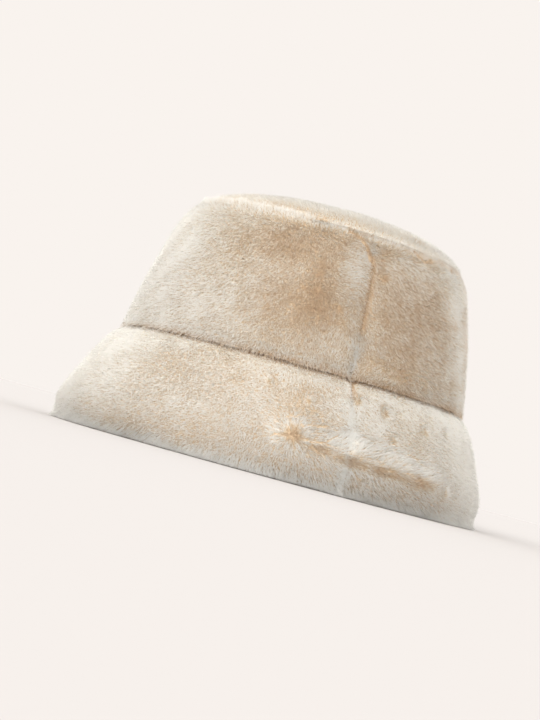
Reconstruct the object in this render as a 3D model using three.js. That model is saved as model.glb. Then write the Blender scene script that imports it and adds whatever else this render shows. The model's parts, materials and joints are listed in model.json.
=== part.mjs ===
// Faux fur bucket hat, standing on its rim: an oval crown top, a crown side of two panels, and a
// turned brim whose upper and under sides are two fur panels each, sewn edge to edge.
// Millimetres, +Z up. The front of the hat looks along -Y, the side seams lie at +X and -X, and the
// origin is on the floor under the middle of the rim.
import * as THREE from "three";
import { mergeVertices } from "three/addons/utils/BufferGeometryUtils.js";

// Driving sizes. Radii are half the hat's length, front to back.
const HEAD_RADIUS = 98; // inside of the crown at its foot
const OVAL = 10; // how much shorter every radius is from side to side
const CROWN_FOOT_Z = 63; // seam between crown and brim
const CROWN_BACK = 2.5; // the crown stands this far behind the middle of the rim
const CROWN_RISE = 83; // from that seam up to the seam round the crown top
const CROWN_TAPER = 20; // what the crown side loses in radius on the way up
const CROWN_BELLY = 2; // how far the crown side swells between its seams
const TOP_DOME = 10; // rise of the crown top's backing from its edge to its middle
const TOP_TILT = 2.5; // the crown top's back edge stands this much higher, its front edge lower
const RIM_RADIUS = 128; // where the brim's two sides meet on the floor
const CROWN_PILE = 13; // fur on the crown, from the backing to the tips
const BRIM_PILE = 14.5; // fur on each side of the brim
const CROWN_HEAD_RADIUS = HEAD_RADIUS - CROWN_TAPER; // inside of the crown at its upper seam
const BRIM_TUCK = 2; // the brim's upper edge lies this far outside the crown's foot
const SEAM_GAP = 0.5; // open line along a seam
const FACE_GAP = 0.4; // between the brim's two sides, back to back
const RIM_WAVE = 2.2; // slow unevenness of the rim's outline
const LOCK_PITCH = 24; // size of the soft locks in the pile
const LOCK_LIFT = 1.3; // and how far they stand out
const WELD = 0.001; // grid points closer than this are one
const CREAM = 0xe6d9c5; // mean colour of the fur outside
const SHADED_CREAM = 0xd9c6ac; // and of the fur under the brim

// Grid of each panel
const PANEL_STEPS = { around: 40, along: 9 };
const TOP_STEPS = { around: 60, rings: 7 };
const GATHER = 0.65; // how strongly the steps draw together at a panel's edges

// The side panels: each reaches from one side seam to the other.
const HALVES = [
  { half: "front", startDeg: -180, endDeg: 0 },
  { half: "back", startDeg: 0, endDeg: 180 },
];

// How the pile rolls over into a seam: the share of its height left on the seam line, the width of
// the roll, and the angle above level at which the pile points on that line, if not square to the
// backing.
const ROLLS = {
  crownSide: { left: 0.66, width: 8 },
  brimSide: { left: 0.86, width: 7 },
  crownFoot: { left: 0.98, width: 11, leanDeg: 17 },
  crownHead: { left: 0.74, width: 14, leanDeg: 42 },
  brimTop: { left: 0.56, width: 24, leanDeg: 17 },
  underTop: { left: 0.45, width: 12 },
  rim: { left: 0.06, width: BRIM_PILE },
  crownTop: { left: 0.74, width: 26, leanDeg: 42 },
};

// Dents and tufts of the pile. Azimuth runs from +X towards +Y, share from the panel's lower edge to
// its upper edge, or from the middle of the crown top to its edge, and lift is outwards.
const TUFTS = [
  { panel: "brim_upper", azimuthDeg: -13, share: 0.29, radius: 9, lift: -2.6 },
  { panel: "brim_upper", azimuthDeg: -39, share: 0.31, radius: 22, lift: 1.5 },
  { panel: "brim_upper", azimuthDeg: 2, share: 0.33, radius: 15, lift: 1.9 },
  { panel: "brim_upper", azimuthDeg: 24, share: 0.34, radius: 18, lift: 1.9 },
  { panel: "brim_upper", azimuthDeg: -11, share: 0.62, radius: 9, lift: -1.7 },
  { panel: "brim_upper", azimuthDeg: -21, share: 0.62, radius: 8, lift: -1.3 },
  { panel: "brim_upper", azimuthDeg: 13, share: 0.75, radius: 10, lift: -1.8 },
  { panel: "crown_side", azimuthDeg: -26, share: 0.8, radius: 24, lift: -1.6 },
  { panel: "crown_side", azimuthDeg: -7, share: 0.6, radius: 16, lift: 1.6 },
  { panel: "crown_side", azimuthDeg: -4, share: 0.3, radius: 9, lift: -1.5 },
  { panel: "crown_top", azimuthDeg: 26, share: 0.97, radius: 9, lift: -2.2 },
  { panel: "crown_top", azimuthDeg: 47, share: 0.97, radius: 8, lift: -1.8 },
];

// Slow waves of the rim's outline: how many go round, where they start and their share.
const RIM_WAVES = [
  { count: 4, phase: 0.6, share: 0.6 },
  { count: 6, phase: 1.9, share: 0.4 },
];

// How the rows of locks sway: how far, in turns of the wave, and over how many locks.
const LOCK_SWAY = { across: 1.4, acrossLocks: 2.3, along: 0.9, alongLocks: 3.1 };

const radians = THREE.MathUtils.degToRad;
const point = (r, z) => new THREE.Vector2(r, z);

// Backing lines of the panels, as radius and height. Each runs so that its pile lies on the right.
function backingLines() {
  const crownTopZ = CROWN_FOOT_Z + CROWN_RISE;
  const brimTop = point(HEAD_RADIUS + BRIM_TUCK, CROWN_FOOT_Z - SEAM_GAP);
  const rim = point(RIM_RADIUS, 0);
  const crownFoot = point(HEAD_RADIUS, CROWN_FOOT_Z);
  const crownHead = point(CROWN_HEAD_RADIUS, crownTopZ);
  const crownMiddle = crownFoot.clone().lerp(crownHead, 0.5).add(point(2 * CROWN_BELLY, 0));
  return {
    crown_side: new THREE.QuadraticBezierCurve(crownFoot, crownMiddle, crownHead),
    brim_upper: new THREE.LineCurve(rim, brimTop),
    brim_under: new THREE.LineCurve(brimTop, rim),
  };
}

// Share of the pile's height at a distance from a seam: a quarter of an ellipse.
function rollOver(distance, { left, width }) {
  const across = Math.min(Math.max(distance / width, 0), 1);
  return left + (1 - left) * Math.sqrt(1 - (1 - across) ** 2);
}

// The way the pile points: square to the backing, turned towards a seam's lean in the width of its
// roll.
function pileWay(square, distance, { width, leanDeg }) {
  if (leanDeg === undefined || distance >= width) {
    return square;
  }
  const lean = point(Math.cos(radians(leanDeg)), Math.sin(radians(leanDeg)));
  return lean.lerp(square, distance / width).normalize();
}

// Soft locks: uneven diamonds, given by the way round and the way along the panel.
function lockRelief(round, along) {
  const turn = (2 * Math.PI) / LOCK_PITCH;
  const sway = LOCK_SWAY.across * Math.sin((turn * along) / LOCK_SWAY.acrossLocks);
  const drift = LOCK_SWAY.along * Math.sin((turn * round) / LOCK_SWAY.alongLocks);
  return LOCK_LIFT * Math.sin(turn * round + sway) * Math.sin(turn * along + drift);
}

// Slow unevenness of the rim's outline.
function rimWave(azimuth) {
  return RIM_WAVES.reduce(
    (sum, { count, phase, share }) => sum + RIM_WAVE * share * Math.sin(count * azimuth + phase),
    0,
  );
}

// Sum of the dents and tufts of a panel at a place on it.
function tuftRelief(panel, azimuth, share, radius, length) {
  return TUFTS.filter((tuft) => tuft.panel === panel).reduce((sum, tuft) => {
    const turn = azimuth - radians(tuft.azimuthDeg);
    const round = Math.atan2(Math.sin(turn), Math.cos(turn)) * radius;
    const along = (share - tuft.share) * length;
    return sum + tuft.lift * Math.exp(-(round ** 2 + along ** 2) / tuft.radius ** 2);
  }, 0);
}

// Radius, height and azimuth to a point of the oval hat. The crown stands back from the rim's middle,
// its top leans with the tilt, and the floor presses flat what would sink into it.
function onHat(radius, height, azimuth) {
  const belowFoot = Math.min(height / CROWN_FOOT_Z, 1);
  const aboveFoot = Math.max(height - CROWN_FOOT_Z, 0) / CROWN_RISE;
  const tilt = TOP_TILT * aboveFoot * Math.sin(azimuth) * (radius / HEAD_RADIUS);
  const shorter = OVAL * Math.min(radius / CROWN_HEAD_RADIUS, 1);
  return new THREE.Vector3(
    (radius - shorter) * Math.cos(azimuth),
    radius * Math.sin(azimuth) + CROWN_BACK * belowFoot,
    Math.max(height + tilt, 0),
  );
}

// Grid steps drawn together towards both ends, where the pile rolls over.
const gathered = (share) => THREE.MathUtils.lerp(share, (1 - Math.cos(Math.PI * share)) / 2, GATHER);

// Welds a moved geometry into one closed skin.
function welded(geometry) {
  geometry.deleteAttribute("normal");
  geometry.deleteAttribute("uv");
  const skin = mergeVertices(geometry, WELD);
  skin.computeVertexNormals();
  return skin;
}

// A sewn fur panel: a box of grid steps bent on to its backing line, one face the backing and the
// other the pile's outer form.
function panelGeometry(
  { panel, line, startDeg, endDeg, pile, startRoll, endRoll, sideRoll, backGap, rimAt },
) {
  const { around, along } = PANEL_STEPS;
  const box = new THREE.BoxGeometry(1, 1, 1, around, along, 1).translate(0.5, 0.5, 0.5);
  const place = box.getAttribute("position");
  const length = line.getLength();
  for (let i = 0; i < place.count; i += 1) {
    const share = gathered(place.getY(i));
    const backing = line.getPointAt(share);
    const tangent = line.getTangentAt(share);
    const square = point(tangent.y, -tangent.x);
    const toStart = share * length;
    const toEnd = (1 - share) * length;
    const way = pileWay(pileWay(square, toStart, startRoll), toEnd, endRoll);
    const seamInset = SEAM_GAP / 2 / backing.x;
    const azimuth = THREE.MathUtils.lerp(
      radians(startDeg) + seamInset,
      radians(endDeg) - seamInset,
      gathered(place.getX(i)),
    );
    const toSideSeam = backing.x * Math.min(azimuth - radians(startDeg), radians(endDeg) - azimuth);
    const standing =
      rollOver(toSideSeam, sideRoll) *
      rollOver(toStart, startRoll) *
      rollOver(toEnd, endRoll);
    const upShare = rimAt === "end" ? 1 - share : share;
    const relief =
      lockRelief(azimuth * backing.x, toStart) +
      tuftRelief(panel, azimuth, upShare, backing.x, length);
    const height = backGap + place.getZ(i) * standing * (pile + relief);
    const flare = rimAt ? rimWave(azimuth) * (1 - upShare) : 0;
    const tip = backing.addScaledVector(way, height);
    const moved = onHat(tip.x + flare, tip.y, azimuth);
    place.setXYZ(i, moved.x, moved.y, moved.z);
  }
  return welded(box);
}

// The crown top: a ball flattened into a domed pad, its upper half the pile's outer form and its
// lower half the backing.
function crownTopGeometry() {
  const { around, rings } = TOP_STEPS;
  const rows = 2 * rings + 1;
  const ball = new THREE.SphereGeometry(1, around, rows);
  const place = ball.getAttribute("position");
  const uv = ball.getAttribute("uv");
  const edgeZ = CROWN_FOOT_Z + CROWN_RISE + SEAM_GAP;
  for (let i = 0; i < place.count; i += 1) {
    const row = Math.round((1 - uv.getY(i)) * rows);
    const onPile = row <= rings;
    const share = Math.sin(((onPile ? row : rows - row) / rings) * (Math.PI / 2));
    const azimuth = 2 * Math.PI * uv.getX(i) + Math.PI;
    const backing = point(share * CROWN_HEAD_RADIUS, edgeZ + TOP_DOME * (1 - share ** 2));
    const toEdge = (1 - share) * CROWN_HEAD_RADIUS;
    const pile =
      CROWN_PILE +
      share * lockRelief(backing.x * Math.cos(azimuth), backing.x * Math.sin(azimuth)) +
      tuftRelief("crown_top", azimuth, share, backing.x, CROWN_HEAD_RADIUS);
    const height = onPile ? rollOver(toEdge, ROLLS.crownTop) * pile : 0;
    const way = pileWay(point(0, 1), toEdge, ROLLS.crownTop);
    const tip = backing.addScaledVector(way, height);
    const moved = onHat(tip.x, tip.y, azimuth);
    place.setXYZ(i, moved.x, moved.y, moved.z);
  }
  return welded(ball);
}

// A panel of faux fur in its mean colour.
function furMesh(name, geometry, colour) {
  const fur = new THREE.MeshStandardMaterial({ color: colour, roughness: 0.95, metalness: 0 });
  const mesh = new THREE.Mesh(geometry, fur);
  mesh.name = name;
  return mesh;
}

function buildHat() {
  const lines = backingLines();
  const kinds = [
    {
      panel: "crown_side",
      colour: CREAM,
      pile: CROWN_PILE,
      startRoll: ROLLS.crownFoot,
      endRoll: ROLLS.crownHead,
      sideRoll: ROLLS.crownSide,
      backGap: 0,
    },
    {
      panel: "brim_upper",
      colour: CREAM,
      pile: BRIM_PILE,
      startRoll: ROLLS.rim,
      endRoll: ROLLS.brimTop,
      sideRoll: ROLLS.brimSide,
      backGap: FACE_GAP / 2,
      rimAt: "start",
    },
    {
      panel: "brim_under",
      colour: SHADED_CREAM,
      pile: BRIM_PILE,
      startRoll: ROLLS.underTop,
      endRoll: ROLLS.rim,
      sideRoll: ROLLS.brimSide,
      backGap: FACE_GAP / 2,
      rimAt: "end",
    },
  ];
  const hat = new THREE.Group();
  hat.add(furMesh("crown_top", crownTopGeometry(), CREAM));
  for (const { colour, ...kind } of kinds) {
    for (const { half, ...sweep } of HALVES) {
      const geometry = panelGeometry({ ...kind, ...sweep, line: lines[kind.panel] });
      hat.add(furMesh(`${kind.panel}_${half}`, geometry, colour));
    }
  }
  return hat;
}

export default buildHat();
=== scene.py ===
"""Plush bucket hat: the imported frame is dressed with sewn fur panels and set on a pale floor."""

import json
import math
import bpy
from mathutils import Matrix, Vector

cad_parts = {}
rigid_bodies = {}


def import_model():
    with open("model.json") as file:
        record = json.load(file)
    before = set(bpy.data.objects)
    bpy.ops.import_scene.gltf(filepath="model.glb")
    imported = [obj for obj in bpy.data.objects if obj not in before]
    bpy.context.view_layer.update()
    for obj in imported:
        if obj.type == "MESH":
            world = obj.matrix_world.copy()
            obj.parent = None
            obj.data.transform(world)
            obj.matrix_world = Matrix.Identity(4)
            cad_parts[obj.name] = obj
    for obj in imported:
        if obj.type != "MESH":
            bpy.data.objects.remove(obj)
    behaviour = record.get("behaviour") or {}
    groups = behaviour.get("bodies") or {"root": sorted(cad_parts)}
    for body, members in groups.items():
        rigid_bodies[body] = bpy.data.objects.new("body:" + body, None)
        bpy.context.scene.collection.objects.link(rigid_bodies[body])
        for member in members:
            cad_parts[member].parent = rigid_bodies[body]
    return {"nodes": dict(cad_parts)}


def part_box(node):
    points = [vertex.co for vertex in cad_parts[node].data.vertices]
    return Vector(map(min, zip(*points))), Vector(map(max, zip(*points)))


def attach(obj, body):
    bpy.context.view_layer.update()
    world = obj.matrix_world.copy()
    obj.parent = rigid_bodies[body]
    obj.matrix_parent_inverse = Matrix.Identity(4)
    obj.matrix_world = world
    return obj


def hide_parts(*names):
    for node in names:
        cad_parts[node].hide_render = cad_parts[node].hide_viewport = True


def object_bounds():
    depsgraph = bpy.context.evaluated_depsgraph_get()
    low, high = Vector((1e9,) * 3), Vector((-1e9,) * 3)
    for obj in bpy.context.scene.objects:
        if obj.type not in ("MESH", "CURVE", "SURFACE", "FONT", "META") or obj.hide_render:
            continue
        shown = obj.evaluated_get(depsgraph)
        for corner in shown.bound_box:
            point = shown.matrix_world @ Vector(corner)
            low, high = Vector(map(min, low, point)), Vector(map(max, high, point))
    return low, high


bl_info = {
    "name": "Plush Bucket Hat",
    "version": (1, 0, 0),
    "blender": (4, 5, 0),
    "location": "3D View > Sidebar > Hat",
    "description": "Dresses the solids of a bucket hat with fur panels, then lights and frames it",
    "category": "Object",
}

from collections import namedtuple

import bpy
import numpy as np
from bpy.props import FloatProperty, FloatVectorProperty, IntProperty, PointerProperty
from mathutils import Matrix, Vector
from mathutils.bvhtree import BVHTree

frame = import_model()
cad_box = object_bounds()

MM = 0.001
BAKE_MAP = "OFBake"
TONE_COLUMNS = 64
TONE_REACH = 0.8
IMAGE_WIDTH, IMAGE_HEIGHT = 540, 720

# Lines of the sewing pattern: the seam levels that the solids' boxes give, the widths over which the
# pile rolls to a seam, and the stretches round the hat in degrees from +X towards +Y.
TOP_EDGE_DROP = 2 * MM
FOOT_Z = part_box("crown_side_front")[0][2]
TOP_SEAM_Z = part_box("crown_top")[0][2] + TOP_EDGE_DROP
SEAM_GAP = 0.5 * MM
BRIM_TOP_OUT = 2 * MM
TOP_ROLL, HEAD_ROLL, FOOT_ROLL, BRIM_ROLL = 26 * MM, 14 * MM, 11 * MM, 20 * MM
FRONT_HALF = (-180.0, 0.0)
BACK_HALF = (0.0, 180.0)
WHOLE_WAY = (-180.0, 180.0)

# The panels: the solid, the kind of panel, its stretch round the hat and its number of fibres.
TOP, SIDE, BRIM, UNDER = "crown_top", "crown_side", "brim_upper", "brim_under"
Panel = namedtuple("Panel", "node kind stretch fibres")


def halves(kind, fibres):
    """Front and back panels of one kind."""
    stretches = {"front": FRONT_HALF, "back": BACK_HALF}
    return tuple(Panel(f"{kind}_{side}", kind, stretch, fibres) for side, stretch in stretches.items())


CROWN_TOP = (Panel("crown_top", TOP, WHOLE_WAY, 90000),)
CROWN_SIDE = halves(SIDE, 165000)
BRIM_UPPER = halves(BRIM, 170000)
BRIM_UNDER = halves(UNDER, 32000)

# How the solids are read: by rays along the pile, on an even grid that starts just inside the edges.
GRID = (221, 47)
EDGE_INSET = 0.15 * MM
EDGE_SHARE = 0.002
SEAM_SHARE = 0.985
RAY_REACH = 60 * MM
PILE_SOFTENING = 14
SHADING_SOFTENING = 80
FIBRE_FLOOR = 0.25 * MM
BACKING_FLOOR = 0.2 * MM

# Seams. The side seam in the photo is open between two heights, and fibres cover the other edges.
OPEN_SEAM_Z = 92 * MM
SEAM_HEAD_Z = 141 * MM
SIDE_SEAM_REACH = math.radians(8)
BRIM_TOP_BAND = 7 * MM
FOOT_BAND = 8 * MM
EDGE_BAND = 3.5 * MM
SEAM_BAND = 1.8 * MM
SEAM_BLEND = 8 * MM
SEAM_REACH = 0.55 * MM
TOP_ROUND = 8 * MM
TOP_SINK = 1.5 * MM
SEAM_COVER = 4.5
SEAM_HOLD = 0.5
SEAM_LEAN = 52
# Brown along seams: partly the dark joint's own colour, partly painted shade in the seam's valley.
SEAM_SHADE_BROWN = 0.3
SEAM_KEEP = 0.5
SEAM_FADE_LOW, SEAM_FADE_HIGH = 12 * MM, 4 * MM

# Lay of the pile where no table below changes it. Drifts are a strength and a wavelength.
DOWN = (0.0, 0.0, -1.0)
FALL = {TOP: (-0.25, -1.0, 0.0)}
WAY_SPREAD = 0.4
SWIRLS = ((0.2, 70 * MM), (0.14, 22 * MM))
LEAN, LEAN_DRIFT, LEAN_WAVE = 36, 3, 40 * MM
LEAN_RANGE = (0.05, 1.25)
STAINS = ((0.04, 55 * MM), (0.025, 12 * MM))
MOTTLE, MOTTLE_WAVE, MOTTLE_RANGE = 0.15, 10 * MM, (0.5, 1.5)
PARTING_HOLD, PARTING_UPRIGHT = 0.8, 0.3
CORE_LEAST, CORE_SHARE = 0.7, 0.2
# Brown rays of a parting: the roots' brown and painted shade in the gaps between its locks.
RAYS, RAY_BROWN_AND_SHADE, RAY_SHARE = 9, 0.5, 0.6
CREASE_HOLD, CREASE_NARROW = 0.6, 3

# How single fibres differ, and more so where they are brown or long. Rises are in millimetres, leans
# in radians.
ROUGH, ROUGH_BROWN, ROUGH_GAIN, ROUGH_RANGE = 0.3, 1.3, 1.5, (0.25, 1)
FIBRE_LEAN_SPREAD, FIBRE_LEAN_RANGE = 0.2, (0.03, 1.3)
DEEPEST = 0.85
RISE_SPREAD, RISE_DROP, GAIN_RISE = 0.4, 0.3, 2.2
STRAY_SHARE, STRAY_RISE = 0.015, (0.4, 1.6)
LOCK_GAIN, LOCK_MOST, LOCK_TONE = 1.2, 0.4, 0.5
SET_BACK = 0.35
TWIST = 0.7
SPECK_WAVE, SPECK_WAVES, BLOTCH, BLOTCH_WAVE = 2 * MM, 16, 0.25, 7 * MM
SPECK, SPECK_BROWN, SPECK_FROM, SPECK_MOST = 0.1, 0.8, 0.7, 0.4
CLUMP_TONE, FIBRE_TONE, GAIN_TONE = 0.14, 0.06, 0.3
NORMAL_SPREAD, NORMAL_LAY = 0.22, 0.1
WIDTH_RANGE = (0.7, 1.3)

# Cells that clumps gather in: the radius in millimetres at which they are square, and the table of
# random places that the two large numbers pick from.
CLUMP_RADIUS = 110
CLUMP_TABLE = 4096
CLUMP_PICKS = (73856093, 19349663)

# The sheet under the fibres: its share of the pile's depth, how it rises along open seams, and how
# brown it is under brown pile, which is painted shade of the deep gaps between locks and in partings.
SHEET_DEPTH, SHEET_DEEPEST, SHEET_RISE = 0.85, 0.75, 0.4
SHEET_SHADE, SHEET_SHADE_FROM = 1.6, 0.2

# Colours: where a fibre turns from its foot's to the next one and the tip's, how much brown pile takes
# its shade, and how much darker the dark spots of the roots, the knit and the floor are. The roots' dark
# spots are partly painted shade of the deep pile.
COLOUR_STEPS = (("Middle", 0.0, 0.3), ("Tip", 0.18, 0.6))
SHADE_FULL, SHADE_MOST = 0.6, 0.8
ROOT_SPECK_AND_SHADE, KNIT_DARK = 0.75, 0.8
FLOOR_GRAIN = 0.004
FLOOR_REACH = 30.0

# Places where the pile was stroked another way, by degrees round the hat and millimetres above the
# floor, with their size in millimetres. Turn is the way the pile lies: 0 goes round the hat towards
# +Y, 90 goes up. Lean is in degrees from standing straight.
Stroke = namedtuple("Stroke", "kind azimuth height round up turn lean gain hold")
ALL_ROUND = 9999
STROKES = (
    Stroke(TOP, 0, 151, ALL_ROUND, 8, -90, 56, 1.15, 0.9),
    Stroke(SIDE, 0, 64, ALL_ROUND, 5, -90, 50, 1.0, 0.8),
    Stroke(SIDE, -8, 128, 9, 24, 15, 54, 1.05, 0.9),
    Stroke(SIDE, -6, 92, 7, 14, -125, 52, 1.1, 0.8),
    Stroke(SIDE, -28, 132, 26, 15, -80, 26, 0.95, 0.8),
    Stroke(SIDE, -17, 108, 9, 26, -75, 26, 0.95, 0.7),
    Stroke(SIDE, 20, 105, 34, 34, -55, 38, 1.0, 0.7),
    Stroke(SIDE, 8, 74, 22, 9, -160, 52, 1.1, 0.8),
    Stroke(SIDE, 0, 152, ALL_ROUND, 5, 90, 40, 1.15, 0.85),
    Stroke(BRIM, 0, 68, ALL_ROUND, 5, 90, 42, 1.0, 0.8),
    Stroke(BRIM, 0, 30, 18, 7, 62, 52, 1.6, 0.85),
    Stroke(BRIM, 12, 28, 18, 7, 50, 52, 1.65, 0.85),
    Stroke(BRIM, 24, 25, 16, 7, 30, 52, 1.6, 0.85),
    Stroke(BRIM, 8, 15, 60, 6, -80, 46, 1.0, 0.7),
    Stroke(BRIM, 0, 3, ALL_ROUND, 5, -90, 62, 1.15, 0.9),
)

# Points that the pile parts away from. Their brown is partly the roots that show and partly painted shade
# in the parting's pit.
Parting = namedtuple("Parting", "kind azimuth height radius lean brown gain", defaults=(1.0,))
PARTINGS = (
    Parting(BRIM, -14, 27, 17, 52, 0.45, 1.35),
    Parting(BRIM, -12, 47, 5, 42, 0.22),
    Parting(BRIM, -24, 52, 4, 42, 0.2),
    Parting(BRIM, 11, 52, 5, 42, 0.32),
    Parting(BRIM, 2, 54, 4, 42, 0.22),
    Parting(BRIM, 13, 38, 4, 42, 0.2),
    Parting(BRIM, 25, 48, 4, 42, 0.2),
    Parting(BRIM, 36, 51, 4, 42, 0.18),
    Parting(BRIM, 33, 18, 6, 46, 0.3),
    Parting(BRIM, 120, 30, 9, 48, 0.3),
    Parting(BRIM, -110, 26, 9, 48, 0.25),
    Parting(SIDE, -18, 119, 3, 40, 0.25),
    Parting(SIDE, -17, 109, 4, 40, 0.25),
    Parting(SIDE, -22, 108, 3, 40, 0.2),
    Parting(SIDE, -15, 93, 3, 40, 0.2),
    Parting(SIDE, -9, 102, 4, 40, 0.25),
    Parting(SIDE, -7, 95, 3, 40, 0.2),
    Parting(SIDE, 5, 127, 4, 40, 0.25),
)

# Creases that the pile sinks into, each a path of places. Their brown is painted shade in the crease.
Crease = namedtuple("Crease", "kind path width sink brown")
CREASES = (
    Crease(SIDE, ((-11, 149.5), (-6, 147), (-3, 142.5), (-1, 136)), 1.8, 1.0, 0.4),
    Crease(SIDE, ((19, 150), (22, 147.5), (24, 146), (29, 149)), 1.7, 1.3, 0.35),
    Crease(SIDE, ((40, 150), (44, 147.5), (48, 150)), 1.7, 1.2, 0.25),
    Crease(SIDE, ((-110, 151), (-106, 148), (-101, 150)), 1.7, 1.2, 0.2),
)

# Patches where the pile is browner, or paler where the value is below nothing. Some are the pile's own
# tone, and some are painted light or painted shade, as marked.
Patch = namedtuple("Patch", "kind azimuth height round up brown")
PATCHES = (
    # Painted light: the whole top paler, where light falls on it from above. Painted shade: the top
    # browner on the key light's side, to tone down its brightness.
    Patch(TOP, 0, 160, ALL_ROUND, ALL_ROUND, -0.1),
    Patch(TOP, -110, 158, 90, 40, 0.06),
    Patch(BRIM, 0, 30, ALL_ROUND, ALL_ROUND, -0.25),
    # Painted light: the crown side paler on the side that the key light falls on.
    Patch(SIDE, -95, 100, 66, 70, -0.25),
    # Painted shade: the crown side browner on the side turned away from the key light.
    Patch(SIDE, 70, 110, 40, 60, 0.1),
    Patch(SIDE, -30, 132, 20, 13, 0.23),
    Patch(SIDE, -16, 110, 9, 24, 0.26),
    Patch(SIDE, -30, 100, 30, 20, 0.12),
    Patch(SIDE, 16, 108, 26, 34, 0.22),
    Patch(SIDE, 175, 120, 40, 22, 0.25),
    Patch(SIDE, 0, 152, ALL_ROUND, 8, 0.02),
    Patch(SIDE, -8, 130, 7, 18, 0.06),
    Patch(BRIM, -30, 62, 50, 12, 0.14),
    Patch(BRIM, -30, 26, 34, 8, 0.07),
    # Painted shade: the lowest band of the brim warmer brown, where it faces down into shade.
    Patch(BRIM, 0, 5, ALL_ROUND, 9, 0.1),
    Patch(BRIM, 16, 48, 18, 18, 0.13),
    # Painted shadow: a brown line under the ridge of long locks, over this row and the next three.
    Patch(BRIM, -8, 23, 8, 3.5, 0.42),
    Patch(BRIM, 0, 21, 9, 3.5, 0.45),
    Patch(BRIM, 10, 20, 14, 3.5, 0.5),
    Patch(BRIM, 22, 19, 14, 4, 0.5),
    Patch(BRIM, 165, 20, 60, 5, 0.2),
    Patch(BRIM, 80, 20, 50, 5, 0.15),
)


class HatSizes(bpy.types.PropertyGroup):
    """Sizes of the sewing pattern that the solids were made to."""

    head_radius: FloatProperty(
        name="Head radius", description="Inside of the crown at its foot, half the length",
        default=98 * MM, unit="LENGTH",
    )
    oval: FloatProperty(
        name="Oval", description="How much shorter every radius is from side to side",
        default=10 * MM, unit="LENGTH",
    )
    crown_taper: FloatProperty(
        name="Crown taper", description="What the crown side loses in radius on the way up",
        default=20 * MM, unit="LENGTH",
    )
    crown_back: FloatProperty(
        name="Crown back", description="How far the crown stands behind the middle of the rim",
        default=2.5 * MM, unit="LENGTH",
    )
    top_dome: FloatProperty(
        name="Top dome", description="Rise of the crown top's backing to its middle",
        default=10 * MM, unit="LENGTH",
    )
    rim_radius: FloatProperty(
        name="Rim radius", description="Where the brim's two sides meet on the floor",
        default=128 * MM, unit="LENGTH",
    )
    seam_lean: FloatProperty(
        name="Seam lean", description="Angle above level of the pile on the crown's foot seam",
        default=math.radians(17), subtype="ANGLE",
    )
    top_lean: FloatProperty(
        name="Top lean", description="Angle above level of the pile on the top seam",
        default=math.radians(42), subtype="ANGLE",
    )


class PileSettings(bpy.types.PropertyGroup):
    """Depth, density and colours of the pile."""

    thinned: FloatProperty(
        name="Fibres", description="Share of each panel's fibres that are made", default=1.0,
        subtype="FACTOR", min=0.01, max=1,
    )
    depth: FloatProperty(
        name="Pile depth", description="How deep the fibres are seen to go",
        default=2.8 * MM, unit="LENGTH",
    )
    fibre_width: FloatProperty(
        name="Fibre width", description="Width of a fibre at its foot",
        default=0.4 * MM, unit="LENGTH",
    )
    clump: FloatProperty(
        name="Clump size", description="Spacing of the small clumps that the tips gather in",
        default=3.0 * MM, unit="LENGTH",
    )
    lock: FloatProperty(
        name="Lock size", description="Spacing of the longer locks on the brim",
        default=6.0 * MM, unit="LENGTH",
    )
    gather: FloatProperty(
        name="Gather", description="How far tips draw towards the middle of their clump",
        default=0.3, subtype="FACTOR", min=0, max=1,
    )
    root: FloatVectorProperty(
        name="Root colour", description="Foot of the fibres", default=(0.64, 0.49, 0.335),
        subtype="COLOR", min=0, max=1,
    )
    middle: FloatVectorProperty(
        name="Middle colour", description="Middle of the fibres", default=(0.86, 0.76, 0.58),
        subtype="COLOR", min=0, max=1,
    )
    tip: FloatVectorProperty(
        name="Tip colour", description="Tips of the fibres", default=(0.955, 0.942, 0.902),
        subtype="COLOR", min=0, max=1,
    )
    shade: FloatVectorProperty(
        name="Shade colour", description="Fibres where the pile is browner",
        default=(0.67, 0.495, 0.335), subtype="COLOR", min=0, max=1,
    )
    # Painted shade: the sheet's dark colour along seams and in the deep gaps under brown pile, partly the
    # roots' own brown.
    seam: FloatVectorProperty(
        name="Seam colour", description="Feet of the fibres along seams and in brown places",
        default=(0.38, 0.265, 0.17), subtype="COLOR", min=0, max=1,
    )
    backing: FloatVectorProperty(
        name="Backing colour", description="Knitted back of the fur", default=(0.66, 0.55, 0.42),
        subtype="COLOR", min=0, max=1,
    )
    glow: FloatProperty(
        name="Glow", description="Share of the light on a fibre that goes through it", default=0.42,
        subtype="FACTOR", min=0, max=1,
    )
    seed: IntProperty(name="Seed", description="Start of the random draws", default=7)


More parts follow.
